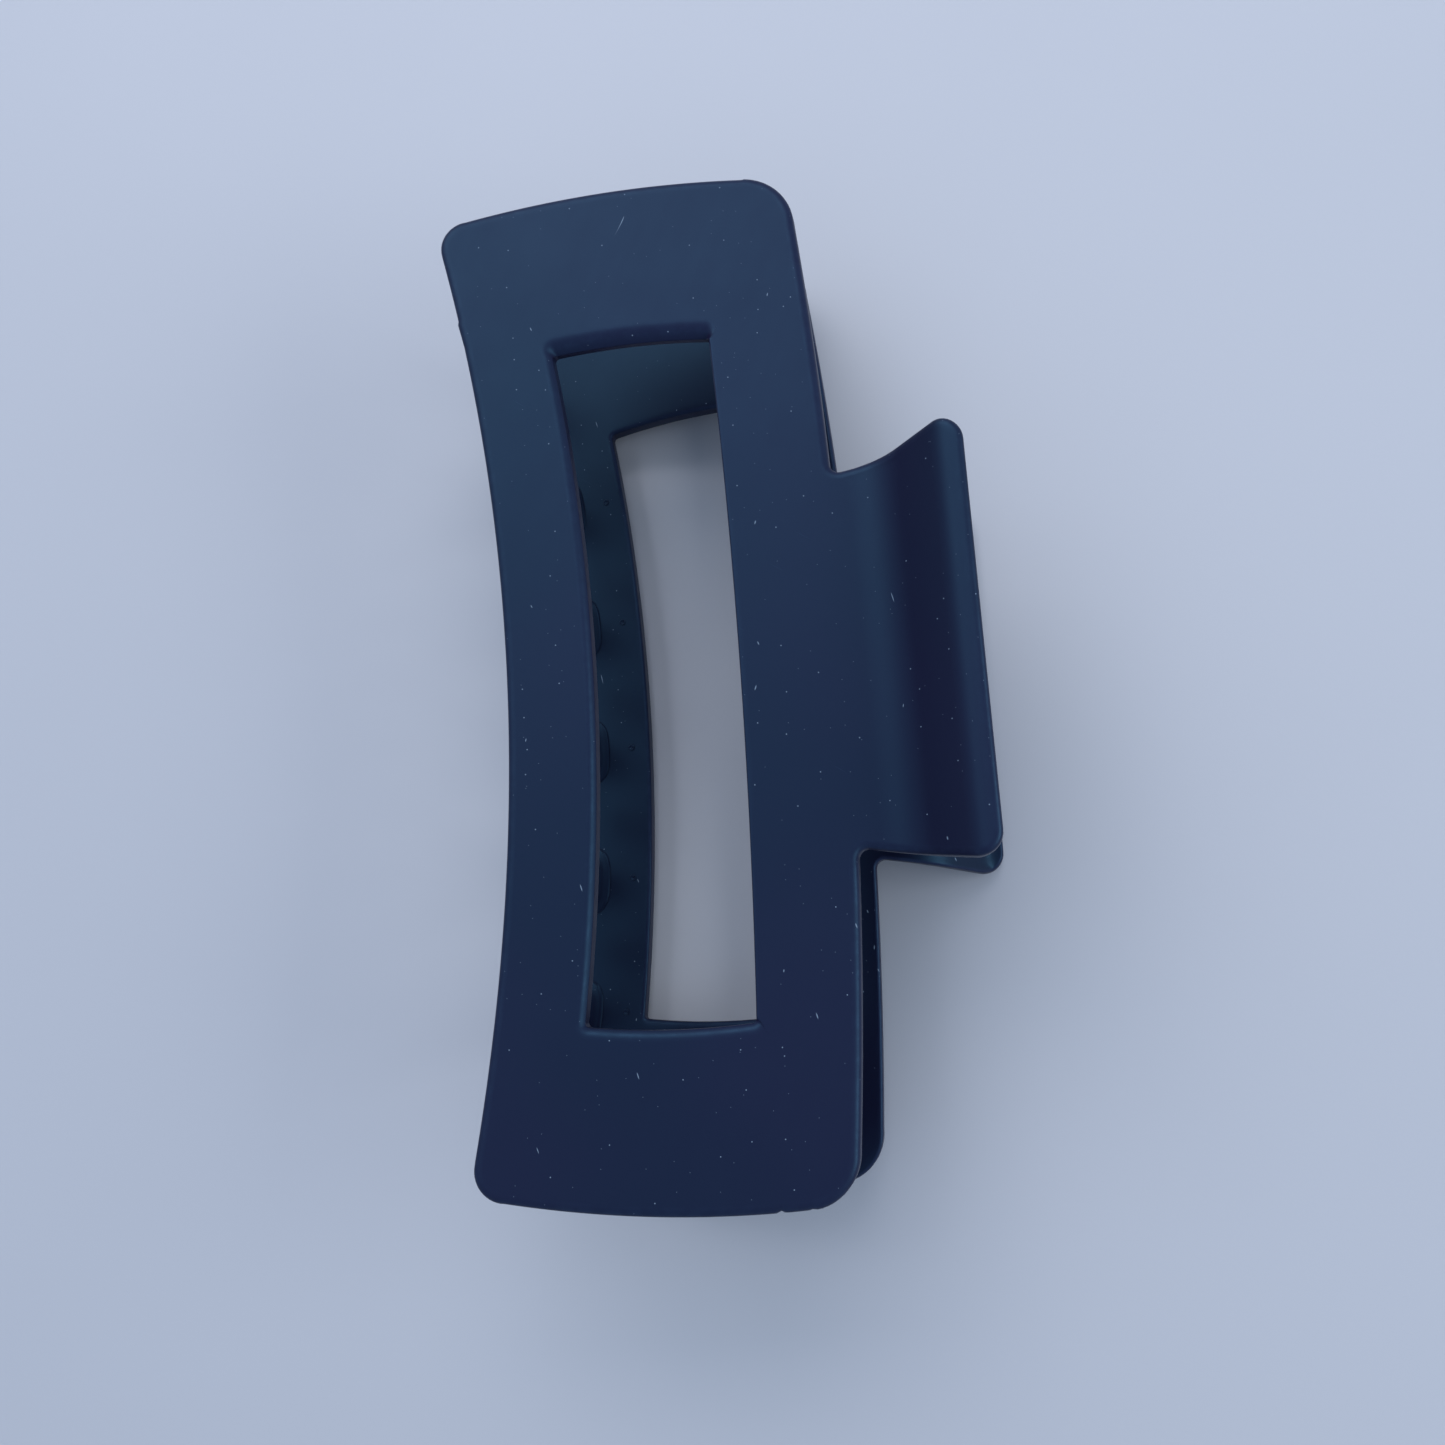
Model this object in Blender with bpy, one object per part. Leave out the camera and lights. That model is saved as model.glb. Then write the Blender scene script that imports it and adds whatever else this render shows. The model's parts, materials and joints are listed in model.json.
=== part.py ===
"""Rectangular claw clip for hair, closed, lying on one of its jaws.

Four pieces, as on the real clip: two jaws from the same moulding, the second one
turned half a turn about X so that its teeth and lugs fall between those of the
first, a steel pin through the lugs, and a torsion spring wound round the pin.

Row frame, metres: +X points to the thumb tabs, +Y runs along the hinge pin and
+Z is up. The origin is at the centre of the bottom of the clip's box. A jaw is
modelled as the upper one, in a frame whose origin is on the hinge axis and whose
plane z = 0 is the clip's mid-plane.
"""

from math import atan, ceil, cos, hypot, pi, sin, sqrt, tau

import bmesh
import bpy
from mathutils import Matrix, Vector

# Plate of the jaw
LENGTH = 0.110  # along the pin, over the crowned ends
PLATE_WIDTH = 0.0353  # teeth edge to hinge edge, at mid-length
PLATE_TILT = 0.154  # rise of the plate towards the teeth edge, as a slope
HINGE_EDGE_X = -0.0009  # the hinge edge at mid-length, from the pin's axis
WALL = 0.0022
EDGE_ROUND = 0.0005
SAG_SPAN = 0.050  # half-length at which the sags below are measured
TEETH_EDGE_SAG = 0.0055
HINGE_EDGE_SAG = 0.0024
HINGE_EDGE_SKEW = 0.00045  # how far the +Y end of the hinge edge stands out, and the -Y end back
CROWN_SPAN = 0.020  # half-width at which the crown of an end is measured
END_CROWN = 0.00172
CROWN_FROM_HINGE = 0.0133  # where an end is furthest out, from the hinge edge
TEETH_CORNER_R = 0.0032
HINGE_CORNER_R = 0.0055

# Window in the plate
TEETH_BAR = 0.0090
HINGE_BAR = 0.0111
END_BAR = 0.01816
WINDOW_TEETH_SAG = 0.0052
WINDOW_HINGE_SAG = 0.0016
WINDOW_END_CROWN = 0.00265
WINDOW_CORNER_R = 0.0005

# Thumb tab
REST_HALF_HEIGHT = 0.0155  # mid-plane to the flat outer face of the lip
HINGE_EDGE_Z = 0.0092  # mid-plane to the plate's outer face at the hinge edge
VALLEY_X = 0.0039  # where the slope of the plate would meet that of the tab
CREST_X = 0.0107
LIP_WIDTH = 0.0024
VALLEY_R = 0.0060
CREST_INNER_R = 0.0003  # the outside has WALL more
TAB_ROOT_HALF = 0.0199
TAB_TIP_HALF = 0.0227
TAB_CORNER_R = 0.0024
TAB_ROOT_R = 0.0010

# Teeth
TOOTH_PITCH = 0.0156
TEETH_ON_ONE_SIDE = 3  # six teeth on a jaw, three each way from its middle
TOOTH_ROOT_WIDTH = 0.0052
TOOTH_TIP_WIDTH = 0.0028
TOOTH_ROOT_THICK = 0.0024
TOOTH_TIP_THICK = 0.0015
TOOTH_BULGE = 0.0026  # how far the tooth's line is drawn outside the plate's edge
TOOTH_OVERLAP = 0.0030  # how far a tip reaches past the mid-plane

# Hinge: lugs, pin and spring
LUG_R = 0.0034
LUG_THICK = 0.0025
LUG_GAP = 0.0004  # side play between two neighbouring lugs
SPRING_BAY = 0.0165  # free width between the two inner lugs
PIN_R = 0.0010
PIN_CLEARANCE = 0.00015  # radial
PIN_OVERHANG = 0.0007
WIRE_R = 0.0006
WIRE_GAP = 0.00035  # between neighbouring turns, and between a leg and its tab
COIL_R = 0.0027  # to the middle of the wire
COIL_TURNS = 7  # whole turns before the two legs take their share
LEG_LENGTH = 0.0095
LEG_FOOT = 0.0025  # end of a leg, lying along the tab

# Facets
SIDE_STEPS = 12
CORNER_STEPS = 5
BEND_STEPS = 5
TOOTH_STEPS = 6
ROUND_STEPS = 28
COIL_STEPS = 18  # for each turn

TEETH_EDGE_X = HINGE_EDGE_X - PLATE_WIDTH
TEETH_EDGE = (TEETH_EDGE_X, TEETH_EDGE_SAG, 0.0)
HINGE_EDGE = (HINGE_EDGE_X, HINGE_EDGE_SAG, HINGE_EDGE_SKEW)
TIP_X = CREST_X + LIP_WIDTH
VALLEY_Z = HINGE_EDGE_Z - PLATE_TILT * (VALLEY_X - HINGE_EDGE_X)
TAB_ANGLE = atan((REST_HALF_HEIGHT - VALLEY_Z) / (CREST_X - VALLEY_X))
INNER_LUG_Y = SPRING_BAY / 2 + LUG_THICK / 2
OUTER_LUG_Y = INNER_LUG_Y + LUG_THICK + LUG_GAP


def edge_x(edge, y):
    """Place along X, at y, of an edge given as (place at mid-length, sag, skew)."""
    at_middle, sag, skew = edge
    share = y / SAG_SPAN
    return at_middle + skew * share - sag * share**2


def end_y(end, x):
    """Distance from mid-length, at x, of an end given as (its furthest, crown, crown's x)."""
    furthest, crown, crown_x = end
    return furthest - crown * ((x - crown_x) / CROWN_SPAN) ** 2


def corner_of(edge, end, side):
    """Where an edge meets an end, at +Y for side 1 and at -Y for side -1."""
    x, y = edge[0], end[0]
    for _ in range(12):
        x = edge_x(edge, side * y)
        y = end_y(end, x)
    return Vector((x, side * y))


def outer_z(x):
    """Height of the plate's flat outer face above the mid-plane."""
    return HINGE_EDGE_Z + PLATE_TILT * (HINGE_EDGE_X - x)


def rounded(before, corner, after, radius, steps):
    """Points of the arc that rounds one corner, from the side before to the side after."""
    inward = (before - corner).normalized()
    onward = (after - corner).normalized()
    half = inward.angle(onward) / 2
    reach = radius * cos(half) / sin(half)
    start, stop = corner + inward * reach, corner + onward * reach
    centre = corner + (inward + onward).normalized() * (radius / sin(half))
    first, last = (start - centre).normalized(), (stop - centre).normalized()
    return [centre + first.slerp(last, i / steps) * radius for i in range(steps + 1)]


def outline(corners, sides):
    """Closed outline. Each corner is (point, radius), and side i is a function from 0 to 1
    that runs from corner i to corner i + 1, or None for a straight side."""
    count = len(corners)
    runs = []
    for i, (point, _) in enumerate(corners):
        end = corners[(i + 1) % count][0]
        curve = sides[i] or (lambda share, a=point, b=end: a.lerp(b, share))
        runs.append([curve(step / SIDE_STEPS) for step in range(SIDE_STEPS + 1)])
    arcs = []
    for i, (point, radius) in enumerate(corners):
        arcs.append(rounded(runs[i - 1][-2], point, runs[i][1], radius, CORNER_STEPS))
    points = []
    for i, run in enumerate(runs):
        points += arcs[i]
        from_start = (arcs[i][-1] - run[0]).length
        from_end = (arcs[(i + 1) % count][0] - run[-1]).length
        for spot in run[1:-1] if sides[i] else []:
            margin = 0.3 * (run[1] - run[0]).length
            clear_start = (spot - run[0]).length > from_start + margin
            clear_end = (spot - run[-1]).length > from_end + margin
            if clear_start and clear_end:
                points.append(spot)
    return points


def along_y(edge, y0, y1):
    return lambda share: Vector(
        (edge_x(edge, y0 + (y1 - y0) * share), y0 + (y1 - y0) * share)
    )


def along_x(end, side, x0, x1):
    return lambda share: Vector(
        (x0 + (x1 - x0) * share, side * end_y(end, x0 + (x1 - x0) * share))
    )


def jaw_outline():
    """The plate with its tab, seen from above, counter-clockwise."""
    end = (LENGTH / 2, END_CROWN, HINGE_EDGE_X - CROWN_FROM_HINGE)
    teeth = [corner_of(TEETH_EDGE, end, side) for side in (-1, 1)]
    hinge = [corner_of(HINGE_EDGE, end, side) for side in (-1, 1)]
    root = [Vector((edge_x(HINGE_EDGE, y), y)) for y in (-TAB_ROOT_HALF, TAB_ROOT_HALF)]
    tip = [Vector((TIP_X, y)) for y in (-TAB_TIP_HALF, TAB_TIP_HALF)]
    corners = [
        (teeth[0], TEETH_CORNER_R),
        (hinge[0], HINGE_CORNER_R),
        (root[0], TAB_ROOT_R),
        (tip[0], TAB_CORNER_R),
        (tip[1], TAB_CORNER_R),
        (root[1], TAB_ROOT_R),
        (hinge[1], HINGE_CORNER_R),
        (teeth[1], TEETH_CORNER_R),
    ]
    sides = [
        along_x(end, -1, teeth[0].x, hinge[0].x),
        along_y(HINGE_EDGE, hinge[0].y, root[0].y),
        None,
        None,
        None,
        along_y(HINGE_EDGE, root[1].y, hinge[1].y),
        along_x(end, 1, hinge[1].x, teeth[1].x),
        along_y(TEETH_EDGE, teeth[1].y, teeth[0].y),
    ]
    return outline(corners, sides)


def window_outline():
    """The window, seen from above, counter-clockwise."""
    left = (TEETH_EDGE_X + TEETH_BAR, WINDOW_TEETH_SAG, 0.0)
    right = (HINGE_EDGE_X - HINGE_BAR, WINDOW_HINGE_SAG, 0.0)
    end = (LENGTH / 2 - END_BAR, WINDOW_END_CROWN, (TEETH_EDGE_X + HINGE_EDGE_X) / 2)
    near_teeth = [corner_of(left, end, side) for side in (-1, 1)]
    near_hinge = [corner_of(right, end, side) for side in (-1, 1)]
    spots = (near_teeth[0], near_hinge[0], near_hinge[1], near_teeth[1])
    sides = [
        along_x(end, -1, near_teeth[0].x, near_hinge[0].x),
        along_y(right, near_hinge[0].y, near_hinge[1].y),
        along_x(end, 1, near_hinge[1].x, near_teeth[1].x),
        along_y(left, near_teeth[1].y, near_teeth[0].y),
    ]
    return outline([(spot, WINDOW_CORNER_R) for spot in spots], sides)


def wall_profile():
    """Cross-section of plate, valley, tab and lip, as a closed outline in X and Z."""
    past_edge = TEETH_EDGE_X - TEETH_EDGE_SAG * (LENGTH / 2 / SAG_SPAN) ** 2 - WALL
    start = Vector((past_edge, outer_z(past_edge)))
    valley = Vector((VALLEY_X, VALLEY_Z))
    crest = Vector((CREST_X, REST_HALF_HEIGHT))
    end = Vector((TIP_X + WALL, REST_HALF_HEIGHT))
    line = [start]
    line += rounded(start, valley, crest, VALLEY_R, BEND_STEPS)
    line += rounded(valley, crest, end, CREST_INNER_R + WALL, BEND_STEPS)
    line.append(end)
    inner = []
    for i, point in enumerate(line):
        before = (point - line[i - 1]).normalized() if i else None
        after = (line[i + 1] - point).normalized() if i + 1 < len(line) else before
        before = before or after
        along = (before + after).normalized()
        down = Vector((along.y, -along.x))
        inner.append(point + down * (WALL / before.dot(along)))
    return line + inner[::-1]


def prism(name, points, low, high, place):
    """Closed solid between two copies of an outline. place(point, depth) gives its corners."""
    mesh = bmesh.new()
    bottom = mesh.faces.new([mesh.verts.new(place(point, low)) for point in points])
    mesh.normal_update()
    made = bmesh.ops.extrude_face_region(mesh, geom=[bottom])
    moved = [item for item in made["geom"] if isinstance(item, bmesh.types.BMVert)]
    shift = place(points[0], high) - place(points[0], low)
    bmesh.ops.translate(mesh, verts=moved, vec=shift)
    return solid(name, mesh)


def solid(name, mesh):
    """A mesh object in the scene, with its faces turned outwards."""
    bmesh.ops.recalc_face_normals(mesh, faces=mesh.faces[:])
    data = bpy.data.meshes.new(name)
    mesh.to_mesh(data)
    mesh.free()
    made = bpy.data.objects.new(name, data)
    bpy.context.scene.collection.objects.link(made)
    return made


def upright(point, depth):
    return Vector((point.x, point.y, depth))


def sideways(point, depth):
    return Vector((point.x, depth, point.y))


def bezier(handles, share):
    a, b, c, d = handles
    left = 1 - share
    return (
        a * left**3 + b * 3 * left**2 * share + c * 3 * left * share**2 + d * share**3
    )


def tooth(name, y):
    """A curved prong that starts inside the plate's edge and crosses the mid-plane."""
    edge = edge_x(TEETH_EDGE, y)
    top = outer_z(edge) - WALL / 2
    handles = [
        Vector((edge + 0.6 * WALL, top)),
        Vector((edge + 0.2 * WALL, 0.78 * top)),
        Vector((edge - TOOTH_BULGE, 0.30 * top)),
        Vector((edge - 0.3 * TOOTH_BULGE, -TOOTH_OVERLAP)),
    ]
    mesh = bmesh.new()
    rings = []
    for i in range(TOOTH_STEPS + 1):
        share = i / TOOTH_STEPS
        centre = bezier(handles, share)
        ahead = bezier(handles, share + 0.01) - bezier(handles, share - 0.01)
        across = Vector((-ahead.y, ahead.x)).normalized()
        thick = TOOTH_ROOT_THICK + (TOOTH_TIP_THICK - TOOTH_ROOT_THICK) * share
        width = TOOTH_ROOT_WIDTH + (TOOTH_TIP_WIDTH - TOOTH_ROOT_WIDTH) * share
        ring = []
        for side, end in ((-1, -1), (1, -1), (1, 1), (-1, 1)):
            spot = centre + across * (side * thick / 2)
            ring.append(mesh.verts.new((spot.x, y + end * width / 2, spot.y)))
        rings.append(ring)
    mesh.faces.new(rings[0])
    mesh.faces.new(rings[-1])
    for near, far in zip(rings, rings[1:]):
        for i in range(4):
            j = (i + 1) % 4
            mesh.faces.new((near[i], near[j], far[j], far[i]))
    return solid(name, mesh)


def lug(name, y):
    """A disc round the pin, carried up into the wall of the jaw."""
    bottom = []
    for i in range(ROUND_STEPS // 2 + 1):
        turn = pi + pi * i / (ROUND_STEPS // 2)
        bottom.append(Vector((LUG_R * cos(turn), LUG_R * sin(turn))))
    top = [Vector((x, outer_z(x) - WALL / 2)) for x in (LUG_R, -LUG_R)]
    return prism(name, bottom + top, y - LUG_THICK / 2, y + LUG_THICK / 2, sideways)


def rod(name, radius, low, high, steps):
    """A round bar round the hinge axis."""
    turns = [tau * i / steps for i in range(steps)]
    circle = [Vector((radius * cos(turn), radius * sin(turn))) for turn in turns]
    return prism(name, circle, low, high, sideways)


def boolean(target, operation, other):
    cut = target.modifiers.new(f"{operation.lower()}_{other.name}", "BOOLEAN")
    cut.operation = operation
    cut.solver = "EXACT"
    cut.object = other
    other.hide_render = True
    other.display_type = "WIRE"


def shade(made, angle=0.6):
    made.data.shade_smooth()
    made.data.set_sharp_from_angle(angle=angle)


def jaw_mesh():
    """The moulding that both jaws are made from, as one mesh."""
    half_length = LENGTH / 2 + WALL
    shell = prism("jaw_shell", wall_profile(), -half_length, half_length, sideways)
    tall = 2 * REST_HALF_HEIGHT
    boolean(shell, "INTERSECT", prism("jaw_plan", jaw_outline(), 0, tall, upright))
    boolean(shell, "DIFFERENCE", prism("jaw_window", window_outline(), 0, tall, upright))
    for place, y in (("inner", -INNER_LUG_Y), ("outer", OUTER_LUG_Y)):
        boolean(shell, "UNION", lug(f"lug_{place}", y))
    soft = shell.modifiers.new("edge_round", "BEVEL")
    soft.width = EDGE_ROUND
    soft.segments = 2
    soft.limit_method = "ANGLE"
    soft.angle_limit = 0.8
    for i in range(-TEETH_ON_ONE_SIDE, TEETH_ON_ONE_SIDE):
        y = TOOTH_PITCH * (i + 0.25)
        boolean(shell, "UNION", tooth(f"tooth_{i + TEETH_ON_ONE_SIDE}", y))
    hole_r = PIN_R + PIN_CLEARANCE
    hole_end = OUTER_LUG_Y + LUG_THICK
    boolean(shell, "DIFFERENCE", rod("pin_hole", hole_r, -hole_end, hole_end, ROUND_STEPS))
    graph = bpy.context.evaluated_depsgraph_get()
    made = bpy.data.meshes.new_from_object(shell.evaluated_get(graph))
    shell.hide_render = True
    shell.display_type = "WIRE"
    return made


def material(name, colour, roughness, metallic):
    made = bpy.data.materials.new(name)
    made.use_nodes = True
    shader = made.node_tree.nodes["Principled BSDF"]
    shader.inputs["Base Color"].default_value = (*colour, 1)
    shader.inputs["Roughness"].default_value = roughness
    shader.inputs["Metallic"].default_value = metallic
    return made


def spring_path():
    """Middle line of the wire: foot, leg, coil, leg and foot.

    The coil turns clockwise about Y, seen in X and Z, from the lower leg to the upper
    one. Each leg leaves it along a tangent and ends parallel to its tab, a gap away.
    """
    off_tab = VALLEY_Z * cos(TAB_ANGLE) - VALLEY_X * sin(TAB_ANGLE)
    off_tab -= WALL + WIRE_R + WIRE_GAP
    # The leg starts COIL_R from the axis and its end is off_tab away, square to the tab:
    # COIL_R cos(tilt) + LEG_LENGTH sin(tilt) = off_tab.
    span = hypot(COIL_R, LEG_LENGTH)
    tilt = 2 * atan((LEG_LENGTH - sqrt(span**2 - off_tab**2)) / (COIL_R + off_tab))
    lean = TAB_ANGLE + tilt
    first, sweep = -(lean + pi / 2), COIL_TURNS * tau - 2 * lean - pi
    pitch = 2 * WIRE_R + WIRE_GAP
    half = pitch * sweep / tau / 2
    steps = ceil(COIL_STEPS * sweep / tau)
    coil = []
    for i in range(steps + 1):
        turn = first - sweep * i / steps
        depth = -half + 2 * half * i / steps
        coil.append(Vector((COIL_R * cos(turn), depth, COIL_R * sin(turn))))
    leg = Vector((cos(lean), 0, sin(lean)))
    foot = Vector((cos(TAB_ANGLE), 0, sin(TAB_ANGLE)))
    knee = coil[-1] + leg * LEG_LENGTH
    upper = [knee - leg * WIRE_R * 2, knee + foot * WIRE_R, knee + foot * LEG_FOOT]
    lower = [Vector((spot.x, -spot.y, -spot.z)) for spot in reversed(upper)]
    return lower + coil + upper


def wire(name, points, radius):
    """Round wire along a line of points."""
    data = bpy.data.curves.new(name, "CURVE")
    data.dimensions = "3D"
    data.bevel_depth = radius
    data.bevel_resolution = 2
    data.use_fill_caps = True
    line = data.splines.new("POLY")
    line.points.add(len(points) - 1)
    for spot, point in zip(line.points, points):
        spot.co = (*point, 1)
    made = bpy.data.objects.new(name, data)
    bpy.context.scene.collection.objects.link(made)
    return made


def box_middle_x(jaw):
    """Middle of the clip's box along X. Both jaws reach equally far that way."""
    xs = [spot.co.x for spot in jaw.vertices]
    return (min(xs) + max(xs)) / 2


def half_height(jaw):
    """Mid-plane to the furthest point of a jaw, on its lip or at the ends of its teeth edge."""
    return max(spot.co.z for spot in jaw.vertices)


def main():
    for old in list(bpy.data.objects):
        bpy.data.objects.remove(old, do_unlink=True)

    moulding = jaw_mesh()
    hinge = bpy.data.objects.new("hinge_axis", None)
    bpy.context.scene.collection.objects.link(hinge)
    hinge.location = (-box_middle_x(moulding), 0, half_height(moulding))

    black = (0.012, 0.016, 0.030)
    upper = bpy.data.objects.new("jaw_upper", moulding)
    lower_mesh = moulding.copy()
    lower_mesh.transform(Matrix.Rotation(pi, 4, "X"))
    lower = bpy.data.objects.new("jaw_lower", lower_mesh)
    for jaw in (upper, lower):
        bpy.context.scene.collection.objects.link(jaw)
        jaw.data.materials.clear()
        jaw.data.materials.append(material(f"{jaw.name}_plastic", black, 0.45, 0.0))
        shade(jaw)

    pin_end = OUTER_LUG_Y + LUG_THICK / 2 + PIN_OVERHANG
    pin = rod("hinge_pin", PIN_R, -pin_end, pin_end, ROUND_STEPS)
    pin.data.materials.append(material("pin_steel", (0.55, 0.56, 0.58), 0.30, 1.0))
    shade(pin)

    spring = wire("torsion_spring", spring_path(), WIRE_R)
    spring.data.materials.append(material("spring_steel", (0.50, 0.51, 0.53), 0.35, 1.0))

    for piece in (upper, lower, pin, spring):
        piece.parent = hinge


main()
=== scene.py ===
"""Looks of a rectangular claw clip: two satin jaws, their teeth and lugs, the pin and the spring.

Both jaws come from one moulding. It is worked out once, in a jaw frame whose origin is on
the hinge axis, with +X towards the thumb tab, +Y along the pin and z = 0 at the clip's
mid-plane. The upper jaw is that moulding moved to the hinge, and the lower one is the same
moulding turned half a turn about X.
"""

import json
import logging
from dataclasses import dataclass, field
from enum import Enum
from math import atan, cos, hypot, pi, radians, sin, sqrt, tan, tau
from typing import Callable

import bmesh
import bpy
import numpy as np
from mathutils import Euler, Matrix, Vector


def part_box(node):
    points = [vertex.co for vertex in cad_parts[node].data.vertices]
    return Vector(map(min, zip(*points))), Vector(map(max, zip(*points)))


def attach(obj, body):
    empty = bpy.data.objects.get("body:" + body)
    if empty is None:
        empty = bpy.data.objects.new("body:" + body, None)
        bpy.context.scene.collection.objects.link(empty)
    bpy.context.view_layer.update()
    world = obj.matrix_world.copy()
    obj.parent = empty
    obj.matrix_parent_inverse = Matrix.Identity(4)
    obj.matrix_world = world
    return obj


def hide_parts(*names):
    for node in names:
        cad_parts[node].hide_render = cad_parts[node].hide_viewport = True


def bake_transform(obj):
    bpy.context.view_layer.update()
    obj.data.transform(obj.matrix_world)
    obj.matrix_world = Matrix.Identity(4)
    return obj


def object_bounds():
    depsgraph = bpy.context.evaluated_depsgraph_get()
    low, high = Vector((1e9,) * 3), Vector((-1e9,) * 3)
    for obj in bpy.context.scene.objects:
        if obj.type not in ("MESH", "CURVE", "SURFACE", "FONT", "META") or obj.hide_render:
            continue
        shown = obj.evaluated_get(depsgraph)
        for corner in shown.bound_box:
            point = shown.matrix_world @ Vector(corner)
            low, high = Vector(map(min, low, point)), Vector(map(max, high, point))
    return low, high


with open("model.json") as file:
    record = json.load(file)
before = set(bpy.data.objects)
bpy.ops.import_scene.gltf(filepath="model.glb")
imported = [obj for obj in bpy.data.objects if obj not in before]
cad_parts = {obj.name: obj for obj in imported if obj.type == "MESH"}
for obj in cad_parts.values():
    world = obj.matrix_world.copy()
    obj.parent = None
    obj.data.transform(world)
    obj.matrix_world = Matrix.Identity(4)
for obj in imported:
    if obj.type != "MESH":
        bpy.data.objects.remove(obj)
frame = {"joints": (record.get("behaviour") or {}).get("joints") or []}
CAD_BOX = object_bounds()

LOG = logging.getLogger("claw_clip")
MM = 0.001

Array = np.ndarray
Triple = tuple[float, float, float]
HINGE = np.array(frame["joints"][0]["pos_m"], float)
UPPER_HIGH = np.array(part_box("jaw_upper")[1], float) - HINGE
PIN_HIGH = np.array(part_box("hinge_pin")[1], float) - HINGE


class Side(Enum):
    """Which of the two jaws a piece belongs to, by the body it rides on."""

    UPPER = "upper"
    LOWER = "lower"

    def place(self, points: Array) -> Array:
        """Points of the jaw frame, moved to this jaw's place in the row frame."""
        turn = np.array([1.0, 1.0, 1.0]) if self is Side.UPPER else np.array([1.0, -1.0, -1.0])
        return points * turn + HINGE


# ---------------------------------------------------------------------------------------
# Surfaces


@dataclass
class Shell:
    """A growing mesh made of closed surfaces, each worked out on a grid.

    Attributes:
        points: vertex positions of each surface.
        faces: quads and triangles of each surface, already numbered for the whole mesh.
        wear_and_highlight: how exposed each vertex is to rubbing, from 0 to 1, which the plastic
            paints lighter as worn plastic and as a painted edge highlight.
        inside: 1 on a jaw's inner faces, which have no coat and are painted darker as painted
            shade, and 0 elsewhere.
    """

    points: list[Array] = field(default_factory=list)
    faces: list[Array] = field(default_factory=list)
    wear_and_highlight: list[Array] = field(default_factory=list)
    inside: list[Array] = field(default_factory=list)

    def count(self) -> int:
        """Number of vertices so far."""
        return sum(len(part) for part in self.points)

    def add_grid(
        self,
        grid: Array,
        wear_and_highlight: Array,
        inside: Array | float,
        wrap_rows: bool,
        cap_ends: bool = False,
    ) -> None:
        """Adds a surface whose columns close on themselves.

        Args:
            grid: positions, as rows x columns x 3. Column j + 1 follows column j, and the
                last column joins the first.
            wear_and_highlight: one value for each grid point.
            inside: one value for each grid point, or one for all.
            wrap_rows: whether the last row joins the first, which makes a ring.
            cap_ends: whether a fan to a middle point closes the first and the last row.
        """
        rows, columns = grid.shape[:2]
        start = self.count()
        upper = np.arange(rows if wrap_rows else rows - 1)
        i, j = np.meshgrid(upper, np.arange(columns), indexing="ij")
        below, beside = (i + 1) % rows, (j + 1) % columns
        quads = np.stack(
            [i * columns + j, i * columns + beside, below * columns + beside, below * columns + j],
            axis=-1,
        ).reshape(-1, 4)
        self.points.append(grid.reshape(-1, 3))
        self.wear_and_highlight.append(wear_and_highlight.reshape(-1))
        inside = np.broadcast_to(inside, (rows, columns))
        self.inside.append(inside.reshape(-1))
        self.faces.append(quads + start)
        if cap_ends:
            self._cap(grid[0], wear_and_highlight[0], inside[0], start, flip=True)
            self._cap(grid[-1], wear_and_highlight[-1], inside[-1], start + (rows - 1) * columns, flip=False)

    def _cap(self, ring: Array, wear_and_highlight: Array, inside: Array, first: int, flip: bool) -> None:
        """Closes one row with triangles that meet at its middle point.

        Args:
            ring: positions of the row.
            wear_and_highlight: one value for each of them.
            inside: one value for each of them.
            first: number of the row's first vertex in the whole mesh.
            flip: whether the triangles run the other way round.
        """
        middle = self.count()
        here = np.arange(len(ring))
        beyond = (here + 1) % len(ring)
        ends = (beyond, here) if flip else (here, beyond)
        fan = np.stack([first + ends[0], first + ends[1], np.full(len(ring), middle)], axis=-1)
        self.points.append(ring.mean(axis=0, keepdims=True))
        self.wear_and_highlight.append(np.array([wear_and_highlight.mean()]))
        self.inside.append(np.array([inside.mean()]))
        self.faces.append(fan)

    def build(self, name: str, place: Callable[[Array], Array]) -> bpy.types.Object:
        """Makes the mesh object, with its normals out.

        Its wear, inside and level are kept as attributes. Level is the size of the normal's
        Z: 1 where a face lies flat, so that dust can rest on it, and 0 where it stands up.

        Args:
            name: the object's name.
            place: moves points of the jaw frame to the row frame.

        Returns:
            The object, at the origin and smooth shaded.
        """
        points = place(np.concatenate(self.points))
        sizes = np.concatenate([np.full(len(part), part.shape[1]) for part in self.faces])
        corners = np.concatenate([part.reshape(-1) for part in self.faces])
        mesh = bpy.data.meshes.new(name)
        mesh.vertices.add(len(points))
        mesh.vertices.foreach_set("co", points.astype(np.float32).reshape(-1))
        mesh.loops.add(len(corners))
        mesh.loops.foreach_set("vertex_index", corners.astype(np.int32))
        mesh.polygons.add(len(sizes))
        starts = np.concatenate([[0], np.cumsum(sizes)[:-1]])
        mesh.polygons.foreach_set("loop_start", starts.astype(np.int32))
        mesh.update(calc_edges=True)
        mesh.validate()
        for kind, values in (("wear_and_highlight", self.wear_and_highlight), ("inside", self.inside)):
            kept = mesh.attributes.new(kind, "FLOAT", "POINT")
            kept.data.foreach_set("value", np.concatenate(values).astype(np.float32))
        mesh.shade_smooth()
        made = bpy.data.objects.new(name, mesh)
        bpy.context.scene.collection.objects.link(made)
        turn_out(mesh)
        normals = np.empty((len(mesh.vertices), 3), np.float32)
        mesh.vertex_normals.foreach_get("vector", normals.reshape(-1))
        level = mesh.attributes.new("level", "FLOAT", "POINT")
        level.data.foreach_set("value", np.abs(normals[:, 2]))
        return made


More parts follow.
